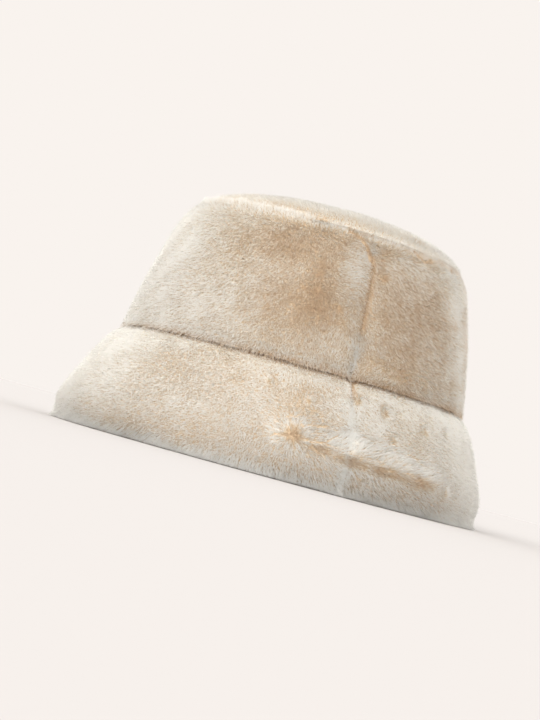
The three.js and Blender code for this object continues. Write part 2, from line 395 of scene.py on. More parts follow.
class StageSettings(bpy.types.PropertyGroup):
    """Camera, floor and studio light."""

    azimuth: FloatProperty(
        name="Azimuth", description="Way round the hat that the camera stands",
        default=math.radians(70), subtype="ANGLE",
    )
    roll: FloatProperty(
        name="Roll", description="How far the camera is turned, so that the hat leans in the picture",
        default=math.radians(15.2), subtype="ANGLE",
    )
    distance: FloatProperty(
        name="Distance", description="From the hat's axis to the camera", default=0.95, unit="LENGTH",
    )
    camera_height: FloatProperty(
        name="Camera height", description="Just above the floor, as the photo looks up at the rim",
        default=14 * MM, unit="LENGTH",
    )
    pixel: FloatProperty(
        name="Pixel", description="Size of a picture pixel at the hat's axis",
        default=0.6207 * MM, unit="LENGTH",
    )
    middle_x: FloatProperty(
        name="Middle x", description="Picture column of the hat's middle", default=297.6, subtype="PIXEL",
    )
    middle_y: FloatProperty(
        name="Middle y", description="Picture row of the hat's middle", default=340.4, subtype="PIXEL",
    )
    backdrop: FloatVectorProperty(
        name="Backdrop colour", description="Pale ground behind the hat", default=(0.947, 0.896, 0.855),
        subtype="COLOR", min=0, max=1,
    )
    floor: FloatVectorProperty(
        name="Floor colour", description="Pale floor, which the light brings up to the backdrop",
        default=(0.597, 0.571, 0.557), subtype="COLOR", min=0, max=1,
    )
    light: FloatVectorProperty(
        name="Light colour", description="Colour of all the light", default=(1.0, 0.985, 0.965),
        subtype="COLOR", min=0, max=1,
    )
    key: FloatProperty(name="Key", description="Strength of the soft key light", default=1.65)
    key_way: FloatVectorProperty(
        name="Key way", description="Way to the key light: to the picture's right, up, to the camera",
        default=(-0.42, 0.4, 0.82),
    )
    key_spread: FloatProperty(
        name="Key spread", description="How wide the key light is, seen from the hat",
        default=math.radians(50), subtype="ANGLE",
    )
    level_fill: FloatProperty(
        name="Level fill", description="Strength of the light from all round, near the floor",
        default=2.55,
    )
    high_fill: FloatProperty(name="High fill", description="The same from straight above", default=0.75)


SETTINGS = (("hat_sizes", HatSizes), ("hat_pile", PileSettings), ("hat_stage", StageSettings))


# Sewing pattern

def pull(square, distance, width, lean):
    """Turns directions square to the backing towards a seam's lean, within the width of its roll."""
    leaning = np.array([math.cos(lean), math.sin(lean)])
    share = np.clip(distance / width, 0, 1)[..., None]
    way = leaning * (1 - share) + square * share
    return way / np.linalg.norm(way, axis=-1, keepdims=True)


def backing_line(kind, share, sizes):
    """Radius and height of a panel's backing, and the way its pile points, by share from end to end."""
    head = sizes.head_radius - sizes.crown_taper
    if kind == TOP:
        place = np.stack([share * head, TOP_SEAM_Z + sizes.top_dome * (1 - share**2)], -1)
        square = np.broadcast_to(np.array([0.0, 1.0]), place.shape)
        return place, pull(square, (1 - share) * head, TOP_ROLL, sizes.top_lean)
    rim = np.array([sizes.rim_radius, 0.0])
    brim_top = np.array([sizes.head_radius + BRIM_TOP_OUT, FOOT_Z - SEAM_GAP])
    foot = np.array([sizes.head_radius, FOOT_Z])
    crown_head = np.array([head, TOP_SEAM_Z])
    start, end = {
        SIDE: (foot, crown_head),
        BRIM: (rim, brim_top),
        UNDER: (brim_top, rim),
    }[kind]
    place = start + (end - start) * share[..., None]
    length = np.linalg.norm(end - start)
    along = (end - start) / length
    square = np.broadcast_to(np.array([along[1], -along[0]]), place.shape)
    to_start, to_end = share * length, (1 - share) * length
    if kind == SIDE:
        way = pull(square, to_start, FOOT_ROLL, sizes.seam_lean)
        return place, pull(way, to_end, HEAD_ROLL, sizes.top_lean)
    if kind == BRIM:
        return place, pull(square, to_end, BRIM_ROLL, sizes.seam_lean)
    return place, square


def on_hat(radius, height, azimuth, sizes):
    """Points of the oval hat from radius, height and the way round."""
    head = sizes.head_radius - sizes.crown_taper
    shorter = sizes.oval * np.minimum(radius / head, 1)
    back = sizes.crown_back * np.clip(height / FOOT_Z, 0, 1)
    return np.stack(
        [(radius - shorter) * np.cos(azimuth), radius * np.sin(azimuth) + back, height], -1
    )


# Reading the solids

Cloth = namedtuple("Cloth", "pile backing normal stand round up azimuth cover seam sink closed")


def solid_tree(node):
    """Search tree of a solid's faces."""
    solid = frame["nodes"][node]
    points = [solid.matrix_world @ v.co for v in solid.data.vertices]
    return BVHTree.FromPolygons(points, [tuple(p.vertices) for p in solid.data.polygons])


def first_hits(tree, starts, ways):
    """How far along each way the solid is met. A ray that slips past takes its neighbour's distance."""
    reach = np.full(starts.shape[:2], np.nan)
    for i in range(starts.shape[0]):
        for j in range(starts.shape[1]):
            hit = tree.ray_cast(Vector(starts[i, j]), Vector(ways[i, j]))
            if hit[0] is not None:
                reach[i, j] = hit[3]
    gaps = np.isnan(reach)
    if gaps.all():
        raise RuntimeError("No ray meets the solid")
    while gaps.any():
        near = np.stack([np.roll(reach, s, a) for s in (1, -1) for a in (0, 1)])
        known = ~np.isnan(near)
        total = np.where(known, near, 0).sum(0)
        filled = total / np.maximum(known.sum(0), 1)
        reach = np.where(gaps & (known.sum(0) > 0), filled, reach)
        gaps = np.isnan(reach)
    return reach


def soften(field, rounds, closed):
    """Evens out a grid of values, with its edges held unless the grid closes on itself."""
    for _ in range(rounds):
        padded = np.concatenate([field[-2:-1], field, field[1:2]]) if closed else field
        middle = (padded[:-2] + 2 * padded[1:-1] + padded[2:]) / 4
        if closed:
            field = middle
        else:
            field = np.concatenate([field[:1], middle, field[-1:]])
        inner = (field[:, :-2] + 2 * field[:, 1:-1] + field[:, 2:]) / 4
        field = np.concatenate([field[:, :1], inner, field[:, -1:]], 1)
    return field


def unit(v):
    """Vectors made one long."""
    return v / np.maximum(np.linalg.norm(v, axis=-1, keepdims=True), 1e-12)


def edge_distance(pile, closed):
    """Distance over the pile to the nearest sewn edge. The crown top has only its outer one."""
    ends = []
    for axis in (0, 1):
        step = np.linalg.norm(np.diff(pile, axis=axis), axis=-1)
        run = np.cumsum(step, axis=axis)
        run = np.concatenate([np.zeros_like(np.take(run, [0], axis)), run], axis)
        ends += [run, np.take(run, [-1], axis) - run]
    return ends[3] if closed else np.minimum.reduce(ends)


def out_of(face, inward, closed):
    """Directions square to a grid of points, on the side that the rays came from."""
    around = np.gradient(face, axis=0)
    if closed:
        around[0] = around[-1] = (face[1] - face[-2]) / 2
    square = unit(np.cross(around, np.gradient(face, axis=1)))
    return square * -np.sign((square * inward).sum(-1).mean())


def rays_in(kind, share, azimuth, sizes):
    """Starts outside and inside the hat, and the ways inwards, along a panel's pile."""
    line, way = backing_line(kind, share, sizes)
    outside = line + way * RAY_REACH
    inside = line - way * (RAY_REACH / 3)
    outer = on_hat(outside[..., 0], outside[..., 1], azimuth, sizes)
    inner = on_hat(inside[..., 0], inside[..., 1], azimuth, sizes)
    return outer, inner, unit(inner - outer)


def across_top_seam(kind, azimuth, sizes):
    """Distances to the pile just across the top seam from the edge of a panel."""
    other = TOP if kind == SIDE else SIDE
    outer, _, ray = rays_in(other, np.full_like(azimuth, SEAM_SHARE), azimuth, sizes)
    panels = CROWN_TOP if other == TOP else CROWN_SIDE
    front, *back = (first_hits(solid_tree(panel.node), outer, ray) for panel in panels)
    level = np.where(azimuth < 0, front, back[0]) if back else front
    return soften(np.repeat(level, 3, axis=1), PILE_SOFTENING, kind == TOP)[:, 1:2]


def level_top_seam(kind, share, azimuth, to_pile, sizes):
    """Brings a crown panel's pile halfway to its neighbour's along the top seam."""
    step = across_top_seam(kind, azimuth[:, -1:], sizes) - to_pile[:, -1:]
    line, _ = backing_line(kind, share, sizes)
    off_seam = np.linalg.norm(line - line[:, -1:], axis=-1)
    return to_pile + step / 2 * np.exp(-((off_seam / SEAM_BLEND) ** 2))


def seam_masks(kind, azimuth, pile, closed):
    """Where extra fibres cover an edge, where a seam is open and how far the top seam sinks."""
    edge = edge_distance(pile, closed)
    height = pile[..., 2]
    at_foot = (kind == BRIM) & (height > FOOT_Z - BRIM_TOP_BAND)
    at_side = (abs(azimuth) < SIDE_SEAM_REACH) & (height > OPEN_SEAM_Z) & (height < SEAM_HEAD_Z)
    cover = np.exp(-((edge / EDGE_BAND) ** 2)) * ~(at_foot | at_side)
    seam = np.exp(-((edge / SEAM_BAND) ** 2)) * ((abs(height - FOOT_Z) < FOOT_BAND) | at_side)
    sink = TOP_SINK * np.exp(-((edge / TOP_ROUND) ** 2)) * (height > SEAM_HEAD_Z - TOP_ROUND)
    return cover, seam, sink


def read_cloth(panel, sizes):
    """Pile face and backing face of a panel, read off its solid, and the directions on it."""
    closed = panel.kind == TOP
    inset = 0 if closed else math.degrees(EDGE_INSET / sizes.head_radius)
    azimuth = np.radians(np.linspace(panel.stretch[0] + inset, panel.stretch[1] - inset, GRID[0]))
    share = np.linspace(EDGE_SHARE, 1 - EDGE_SHARE, GRID[1])
    azimuth, share = np.meshgrid(azimuth, share, indexing="ij")
    outer, inner, ray = rays_in(panel.kind, share, azimuth, sizes)
    tree = solid_tree(panel.node)
    to_pile = soften(first_hits(tree, outer, ray), PILE_SOFTENING, closed)
    if panel.kind in (TOP, SIDE):
        to_pile = level_top_seam(panel.kind, share, azimuth, to_pile, sizes)
    to_backing = first_hits(tree, inner, -ray)
    pile = outer + ray * to_pile[..., None]
    backing = inner - ray * to_backing[..., None]
    smooth = outer + ray * soften(to_pile, SHADING_SOFTENING, closed)[..., None]
    normal = out_of(smooth, ray, closed)
    stand = -ray
    outward = np.stack([np.cos(azimuth), np.sin(azimuth), 0 * azimuth], -1)
    level = unit(np.cross(np.array([0.0, 0.0, 1.0]), outward))
    level = unit(level - stand * (level * stand).sum(-1, keepdims=True))
    masks = seam_masks(panel.kind, azimuth, pile, closed)
    return Cloth(pile, backing, normal, stand, level, np.cross(stand, level), azimuth, *masks, closed)


# Pile

class Drift:
    """Smooth random field over space, made of a few waves."""

    def __init__(self, draw, length, waves=9):
        self.ways = unit(draw.normal(size=(waves, 3))) * (2 * math.pi / length)
        self.ways *= draw.uniform(0.6, 1.5, (waves, 1))
        self.starts = draw.uniform(0, 2 * math.pi, waves)

    def __call__(self, place):
        return np.sin(place @ self.ways.T + self.starts).sum(1) / math.sqrt(len(self.starts) / 2)


Fibres = namedtuple("Fibres", "place normal stand round up azimuth depth cover seam sink")


def scatter(cloth, count, draw):
    """Fibre feet spread evenly over the pile face, with the directions there."""
    step_round = cloth.pile[1:, :-1] - cloth.pile[:-1, :-1]
    step_up = cloth.pile[:-1, 1:] - cloth.pile[:-1, :-1]
    area = np.linalg.norm(np.cross(step_round, step_up), axis=-1)
    area = (area * (1 + cloth.cover[:-1, :-1])).ravel()
    total = np.cumsum(area)
    pick = (np.arange(count) + draw.random(count)) / count * total[-1]
    cell = np.minimum(np.searchsorted(total, pick), len(area) - 1)
    i, j = np.divmod(cell, step_round.shape[1])
    a, b = draw.random(count)[:, None], draw.random(count)[:, None]

    def blend(grid):
        low = grid[i, j] * (1 - a) + grid[i + 1, j] * a
        high = grid[i, j + 1] * (1 - a) + grid[i + 1, j + 1] * a
        return low * (1 - b) + high * b

    thick = np.linalg.norm(cloth.pile - cloth.backing, axis=-1)
    ways = (cloth.normal, cloth.stand, cloth.round, cloth.up)
    values = (cloth.azimuth, thick, cloth.cover, cloth.seam, cloth.sink)
    return Fibres(
        blend(cloth.pile),
        *(unit(blend(grid)) for grid in ways),
        *(blend(grid[..., None])[:, 0] for grid in values),
    )


Spots = namedtuple("Spots", "place azimuth")


def away(spots, azimuth, height):
    """Distances round and up from a place on the hat, in millimetres."""
    turn = spots.azimuth - math.radians(azimuth)
    turn = np.arctan2(np.sin(turn), np.cos(turn))
    radius = np.linalg.norm(spots.place[:, :2], axis=1)
    return turn * radius / MM, spots.place[:, 2] / MM - height


def near_path(spots, path):
    """Ways round and up from the nearest point of a path of places, in millimetres."""
    nearest = np.full(len(spots.place), np.inf)
    off = np.zeros((len(nearest), 2))
    for start, end in zip(path, path[1:]):
        here = np.stack(away(spots, *start), 1)
        step = here - np.stack(away(spots, *end), 1)
        share = np.clip((here * step).sum(1) / (step**2).sum(1), 0, 1)
        gap = here - step * share[:, None]
        far = (gap**2).sum(1)
        off = np.where((far < nearest)[:, None], gap, off)
        nearest = np.minimum(far, nearest)
    return off


def of_kind(table, kind):
    """Rows of a table that are for one kind of panel."""
    return [row for row in table if row.kind == kind]


def fading(spots, row):
    """How strongly a stroke or a patch is felt, from its middle outwards."""
    across, above = away(spots, row.azimuth, row.height)
    return np.exp(-((across / row.round) ** 2) - (above / row.up) ** 2)


def brown_light_and_shade(kind, spots):
    """How brown the partings, creases and patches make the pile: partly its own tone, partly painted
    shade in the partings, creases and under the brim's ridge, and the painted light and painted shade
    that some patches carry.
    """
    brown = np.zeros(len(spots.place))
    for p in of_kind(PARTINGS, kind):
        apart = np.hypot(*away(spots, p.azimuth, p.height))
        brown += p.brown * np.exp(-((apart / (CORE_LEAST + CORE_SHARE * p.radius)) ** 2))
    for c in of_kind(CREASES, kind):
        off = (near_path(spots, c.path) ** 2).sum(1)
        brown += c.brown * np.exp(-CREASE_NARROW * off / c.width**2)
    for p in of_kind(PATCHES, kind):
        brown += p.brown * fading(spots, p)
    return brown


class Lay:
    """Way in the surface, lean, length, brownness and sinking of every fibre of a panel. The brownness
    holds the pile's own tone together with painted shade and painted light.
    """

    def __init__(self, kind, fibres, draw):
        count = len(fibres.place)
        fall = np.array(FALL.get(kind, DOWN))
        way = np.stack([(fibres.round * fall).sum(1), (fibres.up * fall).sum(1)], 1)
        way = unit(way + WAY_SPREAD * draw.normal(size=(count, 2)))
        swirl = sum(size * Drift(draw, wave)(fibres.place) for size, wave in SWIRLS)
        self.way = np.stack(
            [way[:, 0] * np.cos(swirl) - way[:, 1] * np.sin(swirl),
             way[:, 0] * np.sin(swirl) + way[:, 1] * np.cos(swirl)], 1
        )
        self.lean = np.radians(LEAN + LEAN_DRIFT * Drift(draw, LEAN_WAVE)(fibres.place))
        self.gain = np.ones(count)
        self.brown = sum(size * Drift(draw, wave)(fibres.place) for size, wave in STAINS)
        self.sunk = fibres.sink / MM

    def turn(self, target, held):
        """Turns the ways part of the way to a target, and says how well the two agree."""
        between = self.way * (1 - held)[:, None] + target * held[:, None]
        self.way = unit(between)
        return np.linalg.norm(between, axis=1)

    def hold(self, held, lean, gain):
        """Draws the lean, in degrees, and the length towards a place's own."""
        self.lean += (math.radians(lean) - self.lean) * held
        self.gain += (gain - self.gain) * held


def stroke(lay, kind, fibres):
    """Strokes the pile at the places of the table. It stands up where two ways meet."""
    for s in of_kind(STROKES, kind):
        held = s.hold * fading(fibres, s)
        turn = math.radians(s.turn)
        agreed = lay.turn(np.array([math.cos(turn), math.sin(turn)]), held)
        lay.hold(held, s.lean, s.gain)
        lay.lean *= agreed


def close_side_seams(lay, kind, fibres):
    """Lays the pile over the side seams, except where the one in the photo is open."""
    for seam in (0, 180):
        across, _ = away(fibres, seam, 0)
        held = SEAM_HOLD * np.exp(-((across / SEAM_COVER) ** 2))
        if kind == SIDE and seam == 0:
            height = fibres.place[:, 2]
            low = np.clip((OPEN_SEAM_Z - height) / SEAM_FADE_LOW, 0, 1)
            high = np.clip((height - SEAM_HEAD_Z) / SEAM_FADE_HIGH, 0, 1)
            held = held * np.maximum(low, high)
        lay.turn(np.stack([-np.sign(across), SEAM_KEEP * lay.way[:, 1]], 1), held)
        lay.hold(held, SEAM_LEAN, 1.0)


def part(lay, kind, fibres):
    """Parts the pile round points, with brown rays between the locks: the roots' brown and painted shade
    in the gaps.
    """
    for p in of_kind(PARTINGS, kind):
        across, above = away(fibres, p.azimuth, p.height)
        apart = np.hypot(across, above)
        held = PARTING_HOLD * np.exp(-((apart / p.radius) ** 2))
        agreed = lay.turn(unit(np.stack([across, above], 1)), held)
        lay.hold(held, p.lean, p.gain)
        lay.lean *= agreed * np.clip(PARTING_UPRIGHT + apart / (PARTING_UPRIGHT * p.radius), 0, 1)
        rays = np.maximum(np.sin(RAYS * np.arctan2(above, across) + p.height), 0)
        lay.brown += RAY_BROWN_AND_SHADE * p.brown * rays * np.exp(-((apart / (RAY_SHARE * p.radius)) ** 2))


def crease(lay, kind, fibres):
    """Sinks the pile into creases and turns it away from them."""
    for c in of_kind(CREASES, kind):
        off = near_path(fibres, c.path)
        near = np.exp(-((off**2).sum(1) / c.width**2))
        lay.turn(unit(off), CREASE_HOLD * near)
        lay.sunk = lay.sunk + c.sink * near


def comb(kind, fibres, draw):
    """The lay of a panel's pile."""
    lay = Lay(kind, fibres, draw)
    stroke(lay, kind, fibres)
    if kind != TOP:
        close_side_seams(lay, kind, fibres)
    part(lay, kind, fibres)
    # Brown along seams: partly the dark joint's own colour, partly painted shade in the seam's valley.
    lay.brown += SEAM_SHADE_BROWN * fibres.seam
    crease(lay, kind, fibres)
    mottle = np.clip(1 + MOTTLE * Drift(draw, MOTTLE_WAVE)(fibres.place), *MOTTLE_RANGE)
    # Painted shade and painted light of the tables go into the brownness with the pile's own tone.
    browned_lit_and_shaded = brown_light_and_shade(kind, fibres)
    lay.brown += np.where(browned_lit_and_shaded > 0, browned_lit_and_shaded * mottle, browned_lit_and_shaded)
    lay.lean = np.clip(lay.lean, *LEAN_RANGE)
    return lay


def clumps(panel, fibres, size, draw):
    """Way from every fibre to the middle of its clump, and the clump's own tone."""
    place = fibres.place
    if panel.kind == TOP:
        flat = place[:, :2] / size
        ways = np.broadcast_to(np.eye(3)[:2], (len(flat), 2, 3))
    else:
        radius = np.linalg.norm(place[:, :2], axis=1)
        flat = np.stack([fibres.azimuth * CLUMP_RADIUS * MM, place[:, 2] - radius], 1) / size
        ways = np.stack([fibres.round, fibres.up], 1)
    table = draw.random((CLUMP_TABLE, 3))
    base = np.floor(flat).astype(np.int64)
    best = np.full(len(flat), np.inf)
    offset = np.zeros_like(flat)
    tone = np.zeros(len(flat))
    for i in (-1, 0, 1):
        for j in (-1, 0, 1):
            cell = base + (i, j)
            mixed_up = cell * CLUMP_PICKS
            pick = table[(mixed_up[:, 0] ^ mixed_up[:, 1]) % CLUMP_TABLE]
            gap = cell + pick[:, :2] - flat
            far = (gap**2).sum(1)
            closer = far < best
            best = np.where(closer, far, best)
            offset = np.where(closer[:, None], gap, offset)
            tone = np.where(closer, pick[:, 2], tone)
    return (offset[..., None] * size * ways).sum(1), tone - 0.5


def grow(panel, cloth, pile, draw):
    """Foot and tip of every fibre of a panel, the way it is wide, its tone and its normal."""
    count = int(pile.thinned * panel.fibres)
    fibres = scatter(cloth, count, draw)
    lay = comb(panel.kind, fibres, draw)
    longer = lay.gain - 1
    rough = ROUGH + ROUGH_BROWN * np.maximum(lay.brown, 0) + ROUGH_GAIN * longer
    rough = np.clip(rough, *ROUGH_RANGE)
    lean = np.clip(lay.lean + FIBRE_LEAN_SPREAD * draw.normal(size=count), *FIBRE_LEAN_RANGE)
    along = fibres.round * lay.way[:, :1] + fibres.up * lay.way[:, 1:]
    depth = np.minimum(pile.depth * lay.gain + fibres.sink, DEEPEST * fibres.depth)
    rise = (RISE_SPREAD * draw.normal(size=count) - RISE_DROP) * MM
    rise = rise + longer * GAIN_RISE * MM - lay.sunk * MM
    stray = draw.random(count) < STRAY_SHARE
    rise += np.where(stray, draw.uniform(*STRAY_RISE, count), 0) * MM
    gathered, clump_tone = clumps(panel, fibres, pile.clump, draw)
    locked, lock_tone = clumps(panel, fibres, pile.lock, draw)
    in_lock = (np.clip(longer * LOCK_GAIN, 0, LOCK_MOST) * draw.random(count))[:, None]
    tuck = gathered * (pile.gather * rough)[:, None] + locked * in_lock
    clump_tone = clump_tone + LOCK_TONE * lock_tone * in_lock[:, 0]
    slide = ((depth - fibres.sink) * np.tan(lean))[:, None] * along
    set_back = SET_BACK * (1 - fibres.cover)[:, None]
    foot = fibres.place - fibres.stand * depth[:, None] - set_back * slide
    tip = foot + fibres.stand * (depth + rise)[:, None] + slide + tuck
    across = unit(np.cross(fibres.stand, along))
    twist = draw.uniform(-TWIST, TWIST, count)[:, None]
    width_way = across * np.cos(twist) + np.cross(unit(tip - foot), across) * np.sin(twist)
    fine = Drift(draw, SPECK_WAVE, SPECK_WAVES)(fibres.place)
    fine = fine + BLOTCH * Drift(draw, BLOTCH_WAVE)(fibres.place)
    speck = np.clip(SPECK + SPECK_BROWN * lay.brown, 0, SPECK_MOST) * np.maximum(fine - SPECK_FROM, 0)
    uneven = CLUMP_TONE * clump_tone + FIBRE_TONE * draw.normal(size=count)
    tone = lay.brown + speck + rough * uneven + GAIN_TONE * np.maximum(longer, 0)
    jitter = (NORMAL_SPREAD * rough)[:, None] * draw.normal(size=(count, 3))
    normal = unit(fibres.normal + jitter + NORMAL_LAY * along)
    return foot, tip, width_way, tone, normal


def add_values(mesh, label, values):
    """Gives every point of a mesh a value that its material can read."""
    layer = mesh.attributes.new(label, "FLOAT", "POINT")
    layer.data.foreach_set("value", values.astype(np.float32))


def pile_mesh(name, curves, width, draw):
    """Joined mesh of tapered blades, one for every fibre. In the bake map a fibre's colours lie along
    v, and fibres of one tone share a column."""
    foot, tip, across, tone, normal = curves
    count = len(foot)
    half = (width / 2 * draw.uniform(*WIDTH_RANGE, count))[:, None] * across
    points = np.stack([foot - half, foot + half, tip], 1)
    points[..., 2] = np.maximum(points[..., 2], FIBRE_FLOOR)
    facing = np.cross(points[:, 1] - points[:, 0], points[:, 2] - points[:, 0])
    turned = (facing * normal).sum(1) < 0
    points[turned] = points[turned][:, [1, 0, 2]]
    column = ((tone + TONE_REACH) / (2 * TONE_REACH) * TONE_COLUMNS).astype(int)
    column = np.clip(column, 0, TONE_COLUMNS - 1)
    level = (column + 0.5) / TONE_COLUMNS * 2 * TONE_REACH - TONE_REACH
    mesh = bpy.data.meshes.new(name)
    mesh.vertices.add(3 * count)
    mesh.vertices.foreach_set("co", points.astype(np.float32).ravel())
    mesh.loops.add(3 * count)
    mesh.loops.foreach_set("vertex_index", np.arange(3 * count, dtype=np.int32))
    mesh.polygons.add(count)
    mesh.polygons.foreach_set("loop_start", 3 * np.arange(count, dtype=np.int32))
    mesh.polygons.foreach_set("use_smooth", np.ones(count, bool))
    mesh.update(calc_edges=True)
    corners = np.array([[0.02, 0.01], [0.98, 0.01], [0.5, 0.99]])
    map_place = np.repeat(corners[None], count, axis=0)
    map_place[..., 0] = (map_place[..., 0] + column[:, None]) / TONE_COLUMNS
    mesh.uv_layers.new(name=BAKE_MAP).uv.foreach_set("vector", map_place.astype(np.float32).ravel())
    add_values(mesh, "along", np.tile(np.array([0, 0, 1.0]), count))
    add_values(mesh, "tone", np.repeat(level, 3))
    mesh.normals_split_custom_set_from_vertices(np.repeat(normal, 3, axis=0))
    return mesh


# Backing

def sheet_faces(shape, closed):
    """Faces of an outer grid, of the inner grid behind it and of the walls between, and how many
    the outer grid has."""
    size = shape[0] * shape[1]
    grid = np.arange(size).reshape(shape)
    if closed:
        grid[-1] = grid[0]
    quads = np.stack([grid[:-1, :-1], grid[1:, :-1], grid[1:, 1:], grid[:-1, 1:]], -1).reshape(-1, 4)
    edges = [grid[:, 0], grid[::-1, -1]]
    if not closed:
        edges += [grid[0, ::-1], grid[-1]]
    walls = [np.stack([e[1:], e[:-1], e[:-1] + size, e[1:] + size], 1) for e in edges]
    return np.concatenate([quads, quads[:, ::-1] + size, *walls]), len(quads)


def backing_mesh(name, kind, cloth, depth):
    """Closed sheet from the knitted back of the fur to the feet of the fibres."""
    thick = np.linalg.norm(cloth.pile - cloth.backing, axis=-1)
    sunk = depth * (1 - SHEET_RISE * cloth.seam) + cloth.sink
    outer = cloth.pile - cloth.stand * np.minimum(sunk, SHEET_DEEPEST * thick)[..., None]
    ends = [(np.s_[:, -1], np.s_[:, -2])]
    if not cloth.closed:
        ends += [(np.s_[:, 0], np.s_[:, 1]), (np.s_[0], np.s_[1]), (np.s_[-1], np.s_[-2])]
    for last, before in ends:
        outer[last] += SEAM_REACH * unit(cloth.backing[last] - cloth.backing[before])
    thinned = np.s_[::2, ::2]
    outer = outer[thinned]
    points = np.concatenate([outer.reshape(-1, 3), cloth.backing[thinned].reshape(-1, 3)])
    points[:, 2] = np.maximum(points[:, 2], BACKING_FLOOR)
    faces, front = sheet_faces(outer.shape[:2], cloth.closed)
    corner = points[faces]
    turn = np.cross(corner[:, 1] - corner[:, 0], corner[:, 2] - corner[:, 0])
    if (turn * corner[:, 0]).sum() < 0:
        faces = faces[:, ::-1]
    mesh = bpy.data.meshes.new(name)
    mesh.from_pydata(points.tolist(), [], faces.tolist())
    spots = Spots(cloth.pile[thinned].reshape(-1, 3), cloth.azimuth[thinned].ravel())
    # Painted shade: the sheet turns to the seam colour along seams and under brown pile, where the gaps
    # are deep.
    browned_lit_and_shaded = SHEET_SHADE * np.maximum(brown_light_and_shade(kind, spots) - SHEET_SHADE_FROM, 0)
    brown = np.clip(cloth.seam[thinned].ravel() + browned_lit_and_shaded, 0, 1)
    add_values(mesh, "brown", np.concatenate([brown, 0 * brown]))
    slots = np.zeros(len(faces), np.int32)
    slots[front:2 * front] = 1
    mesh.polygons.foreach_set("material_index", slots)
    mesh.polygons.foreach_set("use_smooth", np.ones(len(faces), bool))
    return mesh


# Materials

def link(output, socket):
    """Joins two sockets of a node tree."""
    output.id_data.links.new(output, socket)


def set_inputs(node, **values):
    """Sets inputs of a shader node by name, with _ for a space."""
    for label, value in values.items():
        node.inputs[label.replace("_", " ")].default_value = value


def node_at(tree, kind, **values):
    """A shader node with some of its inputs set."""
    made = tree.nodes.new(kind)
    set_inputs(made, **values)
    return made


def texture(tree, kind, **values):
    """A texture node that is laid out in the object's own space."""
    made = node_at(tree, kind, **values)
    coords = tree.nodes.new("ShaderNodeTexCoord")
    link(coords.outputs["Object"], made.inputs["Vector"])
    return made


def carried(tree, label):
    """Socket of a value that the mesh carries."""
    made = tree.nodes.new("ShaderNodeAttribute")
    made.attribute_name = label
    return made.outputs["Fac"]


def reckoned(tree, operation, first, second):
    """Socket of a sum or a difference of two values."""
    made = tree.nodes.new("ShaderNodeMath")
    made.operation = operation
    link(first, made.inputs[0])
    link(second, made.inputs[1])
    return made.outputs[0]


def mixed(tree, share, first, second):
    """Socket of a colour between two others, each a socket or a plain colour."""
    made = tree.nodes.new("ShaderNodeMix")
    made.data_type = "RGBA"
    link(share, made.inputs["Factor"])
    for label, colour in (("A", first), ("B", second)):
        if isinstance(colour, bpy.types.NodeSocket):
            link(colour, made.inputs[label])
        else:
            made.inputs[label].default_value = (*colour, 1)
    return made.outputs["Result"]


def pile_colour_group():
    """Colour along a fibre, from a brown foot over a fawn middle to a cream tip, and browner all
    along where the pile is."""
    name = "Pile Colour"
    if name in bpy.data.node_groups:
        return bpy.data.node_groups[name]
    group = bpy.data.node_groups.new(name, "ShaderNodeTree")
    for label in ("Root", "Middle", "Tip", "Shade"):
        group.interface.new_socket(label, in_out="INPUT", socket_type="NodeSocketColor")
    group.interface.new_socket("Brown", in_out="INPUT", socket_type="NodeSocketFloat")
    group.interface.new_socket("Colour", in_out="OUTPUT", socket_type="NodeSocketColor")
    inputs = group.nodes.new("NodeGroupInput").outputs
    outputs = group.nodes.new("NodeGroupOutput").inputs
    browner = reckoned(group, "ADD", carried(group, "tone"), inputs["Brown"])
    level = reckoned(group, "SUBTRACT", carried(group, "along"), browner)
    colour = inputs["Root"]
    for label, low, high in COLOUR_STEPS:
        share = node_at(group, "ShaderNodeMapRange", From_Min=low, From_Max=high)
        share.interpolation_type = "SMOOTHSTEP"
        link(level, share.inputs["Value"])
        colour = mixed(group, share.outputs["Result"], colour, inputs[label])
    share = node_at(group, "ShaderNodeMapRange", From_Max=SHADE_FULL, To_Max=SHADE_MOST)
    link(browner, share.inputs["Value"])
    colour = mixed(group, share.outputs["Result"], colour, inputs["Shade"])
    link(colour, outputs["Colour"])
    return group


def shader(name, **values):
    """A new material with its node tree and shader, some of whose inputs are set."""
    material = bpy.data.materials.new(name)
    material.use_nodes = True
    principled = material.node_tree.nodes["Principled BSDF"]
    set_inputs(principled, **values)
    return material, material.node_tree, principled


def fur_material(name, pile, brown, tip):
    """Plush fibres, which let some of the light through."""
    material, tree, principled = shader(
        name, Roughness=0.75, Specular_IOR_Level=0.2,
        Sheen_Weight=0.25, Sheen_Roughness=0.5, Sheen_Tint=(*tip, 1),
    )
    group = tree.nodes.new("ShaderNodeGroup")
    group.node_tree = pile_colour_group()
    set_inputs(
        group, Root=(*pile.root, 1), Middle=(*pile.middle, 1), Tip=(*tip, 1), Shade=(*pile.shade, 1),
        Brown=brown,
    )
    link(group.outputs["Colour"], principled.inputs["Base Color"])
    through = tree.nodes.new("ShaderNodeBsdfTranslucent")
    link(group.outputs["Colour"], through.inputs["Color"])
    both = node_at(tree, "ShaderNodeMixShader", Fac=pile.glow)
    link(principled.outputs[0], both.inputs[1])
    link(through.outputs[0], both.inputs[2])
    link(both.outputs[0], tree.nodes["Material Output"].inputs["Surface"])
    return material


